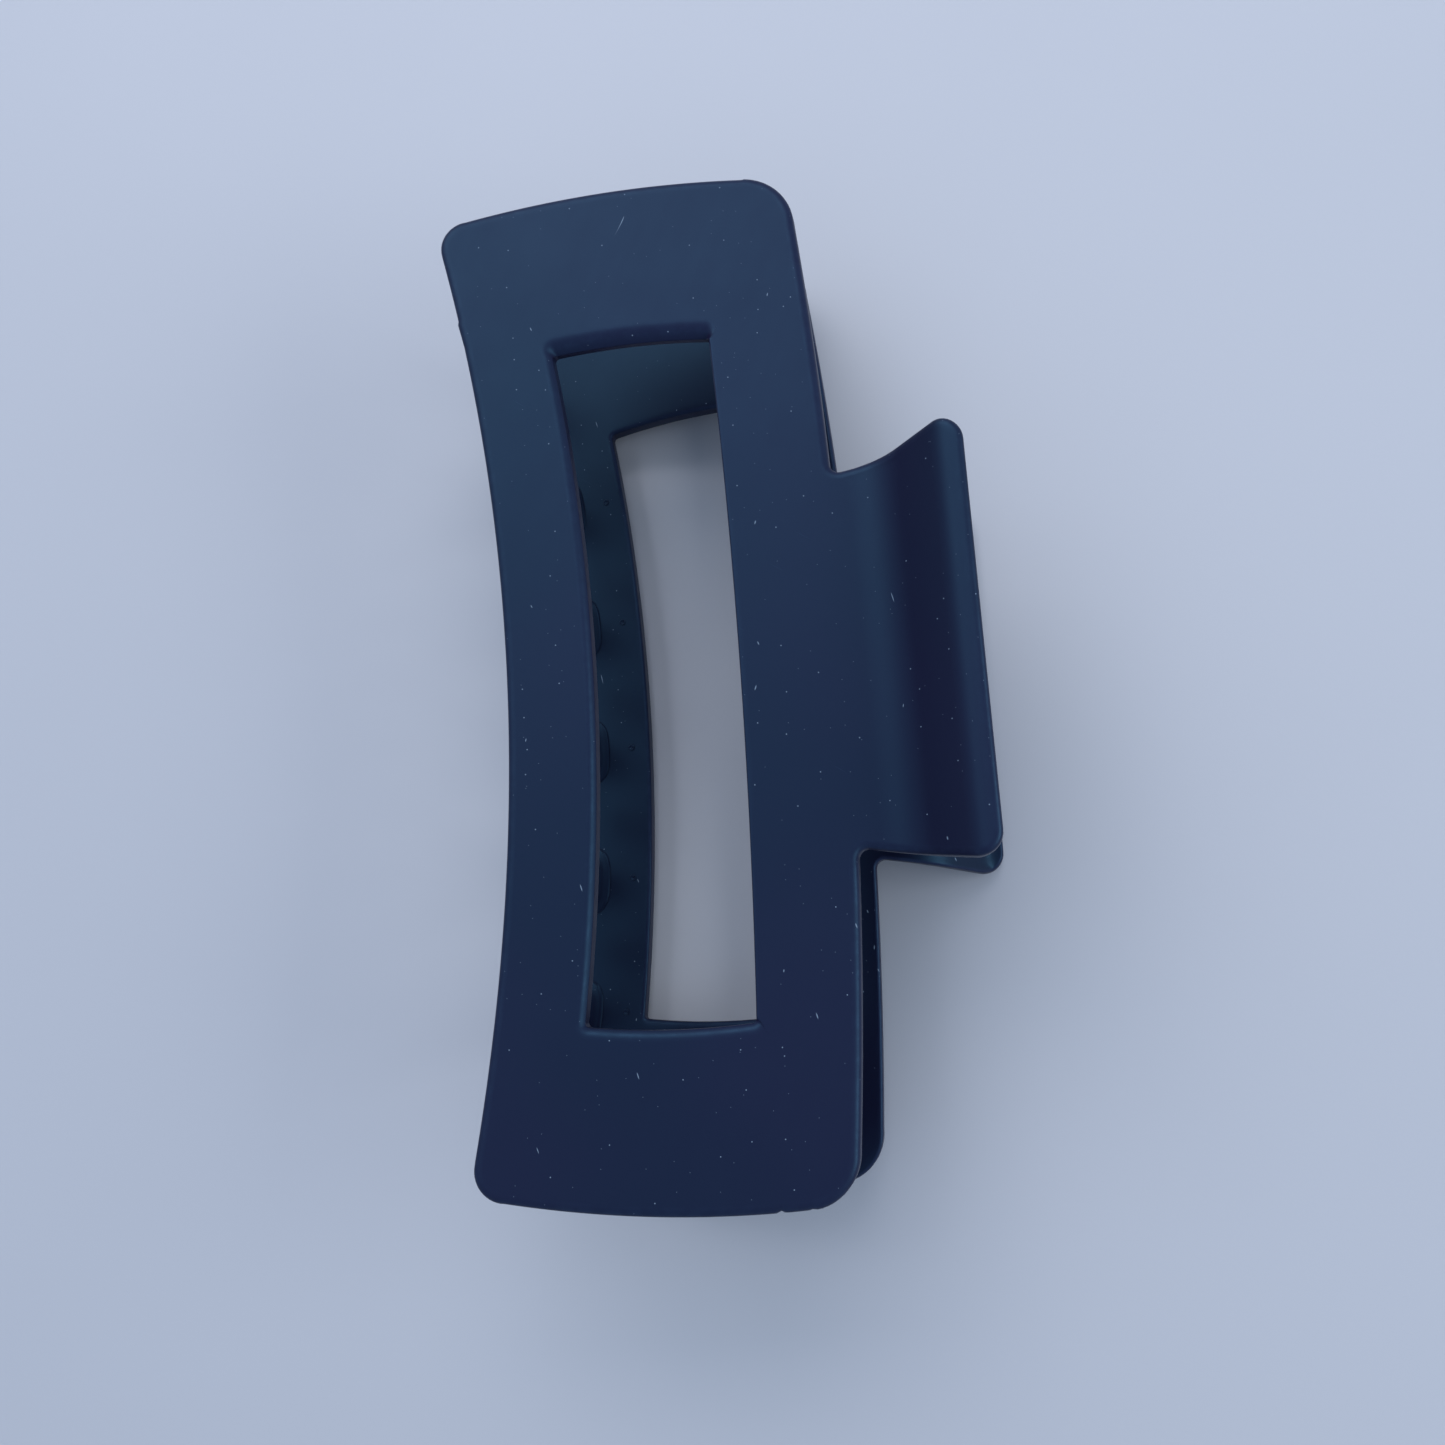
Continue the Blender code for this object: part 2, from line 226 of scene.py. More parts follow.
def turn_out(mesh: bpy.types.Mesh) -> None:
    """Turns each closed surface's faces outwards."""
    loose = bmesh.new()
    loose.from_mesh(mesh)
    bmesh.ops.recalc_face_normals(loose, faces=loose.faces[:])
    loose.to_mesh(mesh)
    loose.free()


def unit(vectors: Array) -> Array:
    """Vectors scaled to length one."""
    return vectors / np.linalg.norm(vectors, axis=-1, keepdims=True)


def loop_normals(loop: Array) -> Array:
    """Left-hand normals of a closed outline: each is square to the line through its neighbours."""
    ahead = np.roll(loop, -1, axis=0) - np.roll(loop, 1, axis=0)
    return unit(np.stack([-ahead[:, 1], ahead[:, 0]], axis=-1))


def quarter_round(steps: int) -> tuple[Array, Array]:
    """A quarter of a circle: shares (1 - cos, 1 - sin) of the radius at even angles."""
    angle = np.linspace(0, pi / 2, steps)
    return 1 - np.cos(angle), 1 - np.sin(angle)


def rolled_rim() -> tuple[Array, Array]:
    """A rolled rim: depth (1 - t)^2 at a share t of the reach, then a short step down the wall."""
    across = np.array([0.0, 0.0, 0.02, 0.07, 0.15, 0.26, 0.40, 0.56, 0.76, 1.0])
    depth = (1 - across) ** 2
    depth[0] += 0.12
    return across, depth


def ease(share: Array) -> Array:
    """Smooth step from 0 to 1: 3 s^2 - 2 s^3, held outside that range."""
    held = np.clip(share, 0, 1)
    return held * held * (3 - 2 * held)


@dataclass(frozen=True)
class RimRounds:
    """Rounding of a ring's four edges, as (reach across the face, depth down the wall)."""

    outer_top: tuple[Array, float]
    inner_top: tuple[Array, Array]
    outer_under: tuple[float, float]
    inner_under: tuple[Array, float]
    inner_shape: tuple[Array, Array]


def fillet_flare(below: Array, radius: float) -> Array:
    """A fillet's reach at a height h below the face: r - sqrt(r^2 - (r - h)^2), 0 past r."""
    gap = np.clip(radius - np.maximum(below, 0), 0, radius)
    return radius - np.sqrt(radius**2 - gap**2)


def rim_rows(
    loop: Array,
    normal: Array,
    size: tuple[Array | float, Array | float],
    face: Callable[[Array, Array], Array],
    sign: float,
    shape: tuple[Array, Array],
) -> list[tuple[Array, Array, float]]:
    """Rows of one rounding, from the wall to the face.

    Args:
        loop: the outline that is rounded.
        normal: its normals, towards the face.
        size: reach across the face and depth down the wall.
        face: height of the face at (x, y).
        sign: 1 for a top face and -1 for an underside.
        shape: shares of the reach and of the depth, one for each row.

    Returns:
        For each row its x and y, its heights and how exposed it is to rubbing, which the plastic
        also paints lighter as a painted edge highlight.
    """
    reach, depth = size
    made = []
    for across, down in zip(*shape):
        flat = loop + normal * (np.broadcast_to(reach, len(loop)) * across)[:, None]
        # Most worn a little way down the rounding; the plastic paints this lighter, partly as worn
        # plastic and partly as a painted edge highlight.
        worn_and_highlit = np.clip(1 - abs(2 * down - 0.6), 0, 1)
        made.append((flat, face(*flat.T) - sign * depth * down, worn_and_highlit))
    return made


def ring_plate(
    outer: Array,
    inner: Array,
    top: Callable[[Array, Array], Array],
    under: Callable[[Array, Array], Array],
    rounds: RimRounds,
    fine: int,
    coarse: int,
) -> tuple[Array, Array, Array]:
    """A plate with a hole, as one grid that wraps both ways.

    Each column is a section from the outer outline to the hole and back under: across the
    top face, down the hole's wall, back across the underside and up the outer wall. A point
    of a face lies on the straight line between the two outlines, each moved in along its
    normal by its rounding's reach. A rounding is a quarter of an ellipse, but for the one
    at the top of the hole, whose shape is given.

    Args:
        outer: outer outline, counter-clockwise.
        inner: hole outline with as many points, also counter-clockwise.
        top: height of the top face at (x, y).
        under: height of the underside at (x, y).
        rounds: the four roundings.
        fine: rows across the top face.
        coarse: rows across the underside.

    Returns:
        The grid, rows x columns x 3, its exposure to rubbing and painted edge highlight, and 1 for
        the rows of the underside, 0 for the others.
    """
    inwards, outwards = loop_normals(outer), -loop_normals(inner)
    rows, wear_and_highlight = [], []

    def add_row(flat: Array, height: Array, worn_and_highlit: float) -> None:
        """Keeps one row's positions and wear."""
        rows.append(np.concatenate([flat, height[:, None]], axis=1))
        wear_and_highlight.append(np.broadcast_to(worn_and_highlit, len(flat)))

    even = quarter_round(7)
    outer_rim = rim_rows(outer, inwards, rounds.outer_top, top, 1, even)
    inner_rim = rim_rows(inner, outwards, rounds.inner_top, top, 1, rounds.inner_shape)
    inner_foot = rim_rows(inner, outwards, rounds.inner_under, under, -1, even)
    outer_foot = rim_rows(outer, inwards, rounds.outer_under, under, -1, even)
    for row in outer_rim:
        add_row(*row)
    for share in np.linspace(0, 1, fine + 2)[1:-1]:
        flat = outer_rim[-1][0] * (1 - share) + inner_rim[-1][0] * share
        add_row(flat, top(*flat.T), 0.0)
    for row in inner_rim[::-1] + inner_foot:
        add_row(*row)
    outside = len(rows) - 1
    for share in np.linspace(1, 0, coarse + 2)[1:-1]:
        flat = outer_foot[-1][0] * (1 - share) + inner_foot[-1][0] * share
        add_row(flat, under(*flat.T), 0.0)
    for row in outer_foot[::-1]:
        add_row(*row)
    under_rows = (np.arange(len(rows)) >= outside) & (np.arange(len(rows)) <= outside + coarse + 1)
    inside = np.broadcast_to(under_rows[:, None] * 1.0, (len(rows), len(outer)))
    return np.array(rows), np.array(wear_and_highlight), inside


def tube(path: Array, across: Array, beside: Array) -> Array:
    """A closed section carried along a path: grid point = path + across + beside."""
    return path[:, None, :] + across + beside


# ---------------------------------------------------------------------------------------
# The moulding


@dataclass(frozen=True)
class Slope:
    """A straight line of the jaw's cross-section: height = at_axis + rise * x."""

    at_axis: float
    rise: float

    def height(self, x: Array) -> Array:
        """Height at x."""
        return self.at_axis + self.rise * x

    def lowered(self, wall: float) -> "Slope":
        """The parallel line a wall's thickness below, measured square to it."""
        return Slope(self.at_axis - wall * sqrt(1 + self.rise**2), self.rise)


def bend(x: Array, before: Slope, after: Slope, radius: float) -> Array:
    """Height of two lines joined by an arc.

    The arc's reach along each line is radius * tan(half the turn), and its centre lies a
    radius off the first line at the tangent point. Between the tangent points the height is
    centre -/+ sqrt(radius^2 - (x - centre)^2).
    """
    first, second = atan(before.rise), atan(after.rise)
    side = 1.0 if second > first else -1.0
    meet = (before.at_axis - after.at_axis) / (after.rise - before.rise)
    reach = radius * tan(abs(second - first) / 2)
    low, high = meet - reach * cos(first), meet + reach * cos(second)
    centre_x = low - side * radius * sin(first)
    centre_z = before.height(low) + side * radius * cos(first)
    arc = centre_z - side * np.sqrt(np.maximum(radius**2 - (x - centre_x) ** 2, 0))
    return np.where(x < low, before.height(x), np.where(x > high, after.height(x), arc))


@dataclass(frozen=True)
class Edge:
    """A bowed edge: place = furthest + skew t - sag t^2, with t = (along - middle) / span."""

    furthest: float
    sag: float
    skew: float
    span: float
    middle: float = 0.0

    def place(self, along: Array) -> Array:
        """How far out the edge is, at a place along it."""
        share = (along - self.middle) / self.span
        return self.furthest + self.skew * share - self.sag * share**2

    def down(self, y: Array) -> Array:
        """Points of the edge at these y, for an edge that runs along Y."""
        return np.stack([self.place(y), y], axis=-1)

    def over(self, x: Array) -> Array:
        """Points of the edge at these x, for an end."""
        return np.stack([x, self.place(x)], axis=-1)

    def meet(self, end: "Edge") -> Array:
        """Where this edge meets an end, found by stepping between them."""
        x, y = self.furthest, end.furthest
        for _ in range(12):
            x = self.place(y)
            y = end.place(x)
        return np.array([x, y])


@dataclass(frozen=True)
class Moulding:
    """Sizes of the jaw, in metres, in the jaw frame.

    The overall length, the tips of the lip and the height of the lip come from the frame.
    """

    half_length: float = float(UPPER_HIGH[1])
    lip_x: float = float(UPPER_HIGH[0])
    lip_z: float = float(UPPER_HIGH[2])
    wall: float = 2.2 * MM
    teeth_edge: float = -36.2 * MM
    hinge_edge: float = -0.9 * MM
    hinge_edge_z: float = 9.2 * MM
    plate_rise: float = -0.154
    valley_x: float = 3.9 * MM
    valley_r: float = 6.0 * MM
    crest_x: float = 10.7 * MM
    crest_r: float = 2.5 * MM
    sag_span: float = 50.0 * MM
    teeth_sag: float = 5.5 * MM
    hinge_sag: float = 2.4 * MM
    hinge_skew: float = 0.45 * MM
    crown: float = 1.72 * MM
    crown_x: float = -14.2 * MM
    window_crown: float = 2.65 * MM
    window_crown_x: float = -18.55 * MM
    crown_span: float = 20.0 * MM
    teeth_corner_r: float = 3.2 * MM
    hinge_corner_r: float = 5.5 * MM
    tab_root: float = 19.9 * MM
    tab_tip: float = 22.7 * MM
    tab_corner_r: float = 2.4 * MM
    tab_root_r: float = 1.0 * MM
    window_teeth_x: float = -27.2 * MM
    window_hinge_x: float = -12.0 * MM
    window_teeth_sag: float = 5.2 * MM
    window_hinge_sag: float = 1.6 * MM
    window_half: float = 36.84 * MM
    window_corner_r: float = 0.5 * MM
    edge_round: float = 0.85 * MM
    edge_round_depth: float = 0.55 * MM
    under_round: float = 0.4 * MM
    rim_roll: float = 1.7 * MM
    rim_roll_depth: float = 1.05 * MM
    rim_sharp: float = 0.2 * MM
    rim_chamfer: float = 0.65 * MM

    def plate_line(self) -> Slope:
        """The plate's flat outer face."""
        return Slope(self.hinge_edge_z - self.plate_rise * self.hinge_edge, self.plate_rise)

    def tab_line(self) -> Slope:
        """The incline of the tab, from the valley to the crest."""
        valley_z = self.plate_line().height(self.valley_x)
        rise = (self.lip_z - valley_z) / (self.crest_x - self.valley_x)
        return Slope(self.lip_z - rise * self.crest_x, rise)

    def section(self, x: Array, depth: float) -> Array:
        """Height of the surface a given depth below the outer face, square to it."""
        lines = (self.plate_line(), self.tab_line(), Slope(self.lip_z, 0))
        plate, tab, lip = (line.lowered(depth) for line in lines)
        valley = bend(x, plate, tab, self.valley_r + depth)
        crest = bend(x, tab, lip, self.crest_r - depth)
        return np.where(x < (self.valley_x + self.crest_x) / 2, valley, crest)

    def top(self, x: Array, y: Array) -> Array:
        """Height of the outer face, which is the same all along Y."""
        return self.section(x, 0.0)

    def under(self, x: Array, y: Array) -> Array:
        """Height of the inner face, which is the same all along Y."""
        return self.section(x, self.wall)

    def edges(self, side: int) -> tuple["Edge", ...]:
        """Teeth edge, hinge edge, and the window's edges beside them, on one side of mid-length."""
        return (
            Edge(self.teeth_edge, self.teeth_sag, 0.0, self.sag_span),
            Edge(self.hinge_edge, self.hinge_sag, side * self.hinge_skew, self.sag_span),
            Edge(self.window_teeth_x, self.window_teeth_sag, 0.0, self.sag_span),
            Edge(self.window_hinge_x, self.window_hinge_sag, 0.0, self.sag_span),
        )

    def ends(self) -> tuple["Edge", "Edge"]:
        """An end of the plate and an end of the window, each with X and Y exchanged."""
        return (
            Edge(self.half_length, self.crown, 0.0, self.crown_span, self.crown_x),
            Edge(self.window_half, self.window_crown, 0.0, self.crown_span, self.window_crown_x),
        )


def corner_arc(before: Array, corner: Array, after: Array, radius: float, steps: int) -> Array:
    """Arc that rounds a corner: centre at radius / sin(half the angle) along its bisector."""
    to_before, to_after = unit(before - corner), unit(after - corner)
    half = np.arccos(np.clip(to_before @ to_after, -1, 1)) / 2
    centre = corner + unit(to_before + to_after) * radius / sin(half)
    first = corner + to_before * radius / tan(half) - centre
    last = corner + to_after * radius / tan(half) - centre
    angle = pi - 2 * half
    share = np.linspace(0, 1, steps)[:, None]
    swept = first * np.sin((1 - share) * angle) + last * np.sin(share * angle)
    return centre + swept / sin(angle)


@dataclass
class JawPlate:
    """The windowed plate with its thumb tab, as one closed ring."""

    size: Moulding
    marks: float
    fine_rows: int = 46
    coarse_rows: int = 26
    end_columns: int = 110
    gate_y: float = 39.1 * MM
    gate_length: float = 3.0 * MM
    gate_stand: float = 0.15 * MM
    nick_x: tuple[float, float] = (-11.8 * MM, -8.6 * MM)
    nick_half: float = 0.26 * MM
    nick_depth: float = 0.22 * MM

    def half_outlines(self, side: int) -> tuple[Array, Array, Array]:
        """Outer and window outlines on one side, and how rolled the window's rim is there.

        They run together from the middle of the tab's tip to the middle of the teeth edge:
        tip, tip corner, tab side, root, hinge edge, hinge corner, end, teeth corner, teeth
        edge. The window's hinge side is shared out among the first five of these.

        Args:
            side: 1 for the +Y side, or -1 for the other one, which is worked out mirrored.

        Returns:
            Two arrays of points, and one of shares from 0, sharp, to 1, fully rolled.
        """
        s = self.size
        teeth_edge, hinge_edge, window_teeth, window_hinge = s.edges(side)
        end, window_end = s.ends()
        teeth, hinge = teeth_edge.meet(end), hinge_edge.meet(end)
        near_teeth, near_hinge = window_teeth.meet(window_end), window_hinge.meet(window_end)
        root = hinge_edge.down(np.array(s.tab_root))
        tip = np.array([s.lip_x, s.tab_tip])
        step = 0.5 * MM
        tip_arc = corner_arc(np.array([tip[0], 0.0]), tip, root, s.tab_corner_r, 12)
        root_arc = corner_arc(tip, root, hinge_edge.down(root[1] + step), s.tab_root_r, 9)
        hinge_arc = corner_arc(
            hinge_edge.down(hinge[1] - step), hinge, end.over(hinge[0] - step), s.hinge_corner_r, 16
        )
        teeth_arc = corner_arc(
            end.over(teeth[0] + step), teeth, teeth_edge.down(teeth[1] - step), s.teeth_corner_r, 14
        )
        window_hinge_arc = corner_arc(
            window_hinge.down(near_hinge[1] - step),
            near_hinge,
            window_end.over(near_hinge[0] - step),
            s.window_corner_r,
            16,
        )
        window_teeth_arc = corner_arc(
            window_end.over(near_teeth[0] + step),
            near_teeth,
            window_teeth.down(near_teeth[1] - step),
            s.window_corner_r,
            14,
        )

        def between(first: Array, last: Array, count: int) -> Array:
            """Points between two others, leaving both out."""
            return np.linspace(first, last, count + 2)[1:-1]

        tab_share = (13.6 * MM, 14.7 * MM, 16.0 * MM, 16.7 * MM)
        tip_ys = np.linspace(0, tip_arc[0, 1], 30, endpoint=False)
        outer = [
            np.stack([np.full(30, s.lip_x), tip_ys], axis=-1),
            tip_arc,
            between(tip_arc[-1], root_arc[0], 26),
            root_arc,
            hinge_edge.down(between(root_arc[-1, 1], hinge_arc[0, 1], 44)),
            hinge_arc,
            end.over(between(hinge_arc[-1, 0], teeth_arc[0, 0], self.end_columns)),
            teeth_arc,
            teeth_edge.down(np.linspace(teeth_arc[-1, 1], 0, 112)[1:]),
        ]
        window = [
            window_hinge.down(np.linspace(0, tab_share[0], 30, endpoint=False)),
            window_hinge.down(np.linspace(tab_share[0], tab_share[1], 12)),
            window_hinge.down(between(tab_share[1], tab_share[2], 26)),
            window_hinge.down(np.linspace(tab_share[2], tab_share[3], 9)),
            window_hinge.down(between(tab_share[3], window_hinge_arc[0, 1], 44)),
            window_hinge_arc,
            window_end.over(
                between(window_hinge_arc[-1, 0], window_teeth_arc[0, 0], self.end_columns)
            ),
            window_teeth_arc,
            window_teeth.down(np.linspace(window_teeth_arc[-1, 1], 0, 112)[1:]),
        ]
        rolled = [
            np.zeros(30 + 12 + 26 + 9 + 44),
            ease(np.linspace(0, 1, 16)),
            np.ones(self.end_columns),
            1 - 0.7 * ease(np.linspace(0, 1, 14)),
            np.full(111, 0.3),
        ]
        if side < 0:
            rolled = [np.minimum(part, 0.3) for part in rolled]
        return np.concatenate(outer), np.concatenate(window), np.concatenate(rolled)

    def outlines(self) -> tuple[Array, Array, Array]:
        """Both outlines all round, counter-clockwise: the +Y half, then the other turned over."""
        near, far = self.half_outlines(1), self.half_outlines(-1)
        turned = [far[0] * (1.0, -1.0), far[1] * (1.0, -1.0), far[2]]
        joined = [np.concatenate([one, other[-2:0:-1]]) for one, other in zip(near, turned)]
        return joined[0], joined[1], joined[2]

    def marked(self, outer: Array) -> Array:
        """The outer outline with the gate's stub on the teeth edge and two nicks on an end.

        The stub rises at once at its +Y end and falls away evenly. A nick is a bell curve.
        Marks is 1 for the jaw that has them and 0 for the other.
        """
        x, y = outer.T
        along = (self.gate_y + self.gate_length / 2 - y) / self.gate_length
        stub = np.where((along > 0) & (along < 1), 1 - along, 0) * self.gate_stand
        stub = np.where(x < self.size.window_teeth_x, stub, 0)
        bells = sum(np.exp(-(((x - nick) / self.nick_half) ** 2)) for nick in self.nick_x)
        nick = np.where(y < -self.size.window_half, bells, 0) * self.nick_depth
        return outer + loop_normals(outer) * ((nick - stub) * self.marks)[:, None]

    def add_to(self, shell: Shell) -> None:
        """Works the plate out and adds it to the jaw's mesh."""
        s = self.size
        outer, window, rolled = self.outlines()
        roll = s.rim_sharp + (s.rim_roll - s.rim_sharp) * rolled * (1.6 - 0.6 * rolled)
        roll_depth = s.rim_sharp + (s.rim_roll_depth - s.rim_sharp) * rolled
        rounds = RimRounds(
            outer_top=(s.edge_round, s.edge_round_depth),
            inner_top=(roll, roll_depth),
            outer_under=(s.under_round, s.under_round),
            inner_under=(s.under_round + (s.rim_chamfer - s.under_round) * rolled, s.under_round),
            inner_shape=rolled_rim(),
        )
        grid, wear_and_highlight, inside = ring_plate(
            self.marked(outer), window, s.top, s.under, rounds, self.fine_rows, self.coarse_rows
        )
        shell.add_grid(grid, wear_and_highlight, inside, wrap_rows=True)


@dataclass
class Teeth:
    """Six curved prongs on the teeth edge, which cross the mid-plane between the other jaw's."""

    size: Moulding
    pitch: float = 15.6 * MM
    shift: float = 0.25
    numbers: tuple[int, ...] = (-3, -2, -1, 0, 1, 2)
    root_width: float = 5.2 * MM
    tip_width: float = 2.8 * MM
    root_thick: float = 2.4 * MM
    tip_thick: float = 1.5 * MM
    bulge: float = 2.6 * MM
    overlap: float = 3.0 * MM
    fillet: float = 1.2 * MM
    inward_flare: float = 1.5
    side_flare: float = 1.4
    root_rows: int = 30
    root_share: float = 0.2
    rows: int = 28
    dome_share: float = 0.03
    columns: int = 32
    squareness: float = 3.2
    pip_r: float = 0.38 * MM
    pip_height: float = 0.10 * MM
    pip_from_window: float = 2.3 * MM

    def line(self, share: Array, edge: float) -> Array:
        """Middle line of a prong: a cubic curve through four handles, in x and z."""
        s = self.size
        root = float(s.plate_line().height(edge)) - s.wall / 2
        handles = (
            (edge + 0.6 * s.wall, root),
            (edge + 0.2 * s.wall, 0.78 * root),
            (edge - self.bulge, 0.30 * root),
            (edge - 0.3 * self.bulge, -self.overlap),
        )
        left = 1 - share
        weights = (left**3, 3 * left**2 * share, 3 * left * share**2, share**3)
        return sum(w[:, None] * np.array(handle) for w, handle in zip(weights, handles))

    def add_to(self, shell: Shell) -> None:
        """Adds the prongs: a rounded rectangle that tapers along the line, with a domed tip.

        The section is a superellipse, |x/a|^n + |y/b|^n = 1. Near the plate it widens by a
        fillet, which is drawn out inwards and a little sideways, and is absent on the side
        flush with the plate's edge. The prong is sheared to follow the edge's bow. At the
        tip it closes as a circle does, by sqrt(1 - t^2).
        """
        s = self.size
        dome_from = 1 - self.dome_share
        near_root = np.linspace(0, 1, self.root_rows) ** 0.8 * self.root_share
        shaft = np.linspace(self.root_share, dome_from, self.rows)[1:]
        dome = np.sin(np.linspace(0, pi / 2, 9))[1:-1]
        share = np.concatenate([near_root, shaft, dome_from + self.dome_share * dome])
        closing = np.sqrt(1 - np.clip((share - dome_from) / self.dome_share, 0, 1) ** 2)
        turn = np.linspace(0, tau, self.columns, endpoint=False)
        power = 2 / self.squareness
        around_x = np.sign(np.cos(turn)) * np.abs(np.cos(turn)) ** power
        around_y = np.sign(np.sin(turn)) * np.abs(np.sin(turn)) ** power
        for number in self.numbers:
            y = self.pitch * (number + self.shift)
            edge = float(s.edges(1)[0].place(y))
            line = self.line(share, edge)
            ahead = unit(np.gradient(line, axis=0))
            square = np.stack([-ahead[:, 1], ahead[:, 0]], axis=-1)
            below = s.under(line[:, 0], y) - line[:, 1]
            flare = fillet_flare(below, self.fillet)
            thick = (self.root_thick + (self.tip_thick - self.root_thick) * share) / 2 * closing
            width = (self.root_width + (self.tip_width - self.root_width) * share) / 2 * closing
            inwards = np.maximum(around_x, 0) ** 1.5 * self.inward_flare
            reach = thick[:, None] * around_x
            drawn = flare[:, None] * inwards
            spread = (width + flare * self.side_flare)[:, None] * around_y
            bow = s.edges(1)[0].place(y + spread) - edge
            grid = np.stack(
                [
                    line[:, :1] + square[:, :1] * reach + drawn + bow,
                    y + spread,
                    line[:, 1:] + square[:, 1:] * reach + drawn * s.plate_rise,
                ],
                axis=-1,
            )
            # Prong tips count as worn; the plastic paints them lighter, as worn plastic and as a
            # painted highlight.
            wear_and_highlight = np.broadcast_to((share > 0.9)[:, None] * 0.5, grid.shape[:2])
            shell.add_grid(grid, wear_and_highlight, inside=1.0, wrap_rows=False, cap_ends=True)
            if abs(y) < s.window_half:
                self.add_pip(shell, y)

    def add_pip(self, shell: Shell, y: float) -> None:
        """Adds the mark of an ejector: a low disc on the inner face, with a rounded rim."""
        s = self.size
        x = float(s.edges(1)[2].place(y)) - self.pip_from_window
        turn = np.linspace(0, tau, 24, endpoint=False)
        radius = np.array([1.0, 1.0, 0.96, 0.86, 0.70, 0.55, 0.5]) * self.pip_r
        height = np.array([-0.5, 0.55, 0.85, 1.0, 1.0, 0.8, 0.45]) * self.pip_height
        px = x + radius[:, None] * np.cos(turn)
        py = y + radius[:, None] * np.sin(turn)
        grid = np.stack([px, py, s.under(px, py) - height[:, None]], axis=-1)
        shell.add_grid(grid, np.zeros(grid.shape[:2]), 1.0, wrap_rows=False, cap_ends=True)


@dataclass
class Lugs:
    """The two ears of a jaw that the pin goes through."""

    size: Moulding
    radius: float = 3.4 * MM
    thick: float = 2.5 * MM
    hole_r: float = 1.15 * MM
    spots: tuple[float, float] = (-9.5 * MM, 12.4 * MM)
    round_r: float = 0.35 * MM
    fillet: float = 1.2 * MM

    def outline(self) -> Array:
        """Side view, counter-clockwise: half a circle below and straight sides into the wall."""
        s = self.size
        turn = np.linspace(pi, tau, 37)
        bowl = self.radius * np.stack([np.cos(turn), np.sin(turn)], axis=-1)

        def side(sign: float) -> Array:
            """One straight side, from the bowl up into the wall."""
            top = float(s.under(np.array(sign * self.radius), np.array(0.0))) + 0.35 * s.wall
            share = np.linspace(0, 1, 34)[1:]
            return np.stack([np.full(33, sign * self.radius), top * share**0.8], axis=-1)

        right, left = side(1.0), side(-1.0)
        across = np.linspace(right[-1], left[-1], 22)[1:-1]
        return np.concatenate([bowl, right, across, left[::-1]])

    def flared(self, grid: Array) -> Array:
        """Widens a lug where it meets the jaw: x is scaled by 1 + flare / radius.

        The flare is a quarter-round fillet below the jaw's inner face.
        """
        flare = fillet_flare(self.size.under(grid[..., 0], 0.0) - grid[..., 1], self.fillet)
        same = np.ones_like(flare)
        return grid * np.stack([1 + flare / self.radius, same, same], axis=-1)

    def add_to(self, shell: Shell) -> None:
        """Adds both lugs, each a ring round the pin's hole."""
        outer = self.outline()
        angle = np.unwrap(np.arctan2(outer[:, 1], outer[:, 0]))
        hole = self.hole_r * np.stack([np.cos(angle), np.sin(angle)], axis=-1)
        round_size = (np.full(len(outer), self.round_r), self.round_r)
        rounds = RimRounds(*[round_size] * 4, quarter_round(7))
        for y in self.spots:
            grid, wear_and_highlight, _ = ring_plate(
                outer,
                hole,
                lambda a, b, y=y: np.full(len(a), y + self.thick / 2),
                lambda a, b, y=y: np.full(len(a), y - self.thick / 2),
                rounds,
                fine=8,
                coarse=8,
            )
            # Lug edges count as less worn; the plastic paints them lighter, as worn plastic and as
            # a painted edge highlight.
            shell.add_grid(self.flared(grid)[..., [0, 2, 1]], wear_and_highlight * 0.4, 1.0, wrap_rows=True)


# ---------------------------------------------------------------------------------------
# Metal


@dataclass
class Pin:
    """The hinge pin: a drawn rod with a low dome peened on each end."""

    radius: float = float(PIN_HIGH[0])
    half_length: float = float(PIN_HIGH[1])
    head_stand: float = 0.10 * MM
    head_length: float = 0.55 * MM
    dome_length: float = 0.35 * MM

    def add_to(self, shell: Shell) -> None:
        """Adds the rod: a profile of radius against length, turned round the axis.

        Each head swells by sin^2 over its length and closes with a quarter ellipse.
        """
        inner = self.half_length - self.head_length
        along = np.linspace(0, 1, 9)
        swell = self.head_stand * np.sin(along * pi / 2) ** 2
        dome = np.linspace(0, pi / 2, 8)[1:-1]
        rod_y = np.linspace(0, inner, 12)[:-1]
        head_y = inner + along * (self.head_length - self.dome_length)
        dome_y = head_y[-1] + self.dome_length * np.sin(dome)
        half_y = np.concatenate([rod_y, head_y, dome_y])
        rod_r = np.full(len(rod_y), self.radius)
        dome_r = (self.radius + self.head_stand) * np.cos(dome)
        half_r = np.concatenate([rod_r, self.radius + swell, dome_r])
        y = np.concatenate([-half_y[:0:-1], half_y])
        r = np.concatenate([half_r[:0:-1], half_r])
        turn = np.linspace(0, tau, 40, endpoint=False)
        grid = np.stack(
            [
                r[:, None] * np.cos(turn),
                np.broadcast_to(y[:, None], (len(y), len(turn))),
                r[:, None] * np.sin(turn),
            ],
            axis=-1,
        )
        wear_and_highlight = np.broadcast_to((np.abs(y) > inner)[:, None] * 1.0, grid.shape[:2])
        shell.add_grid(grid, wear_and_highlight, 0.0, wrap_rows=False, cap_ends=True)


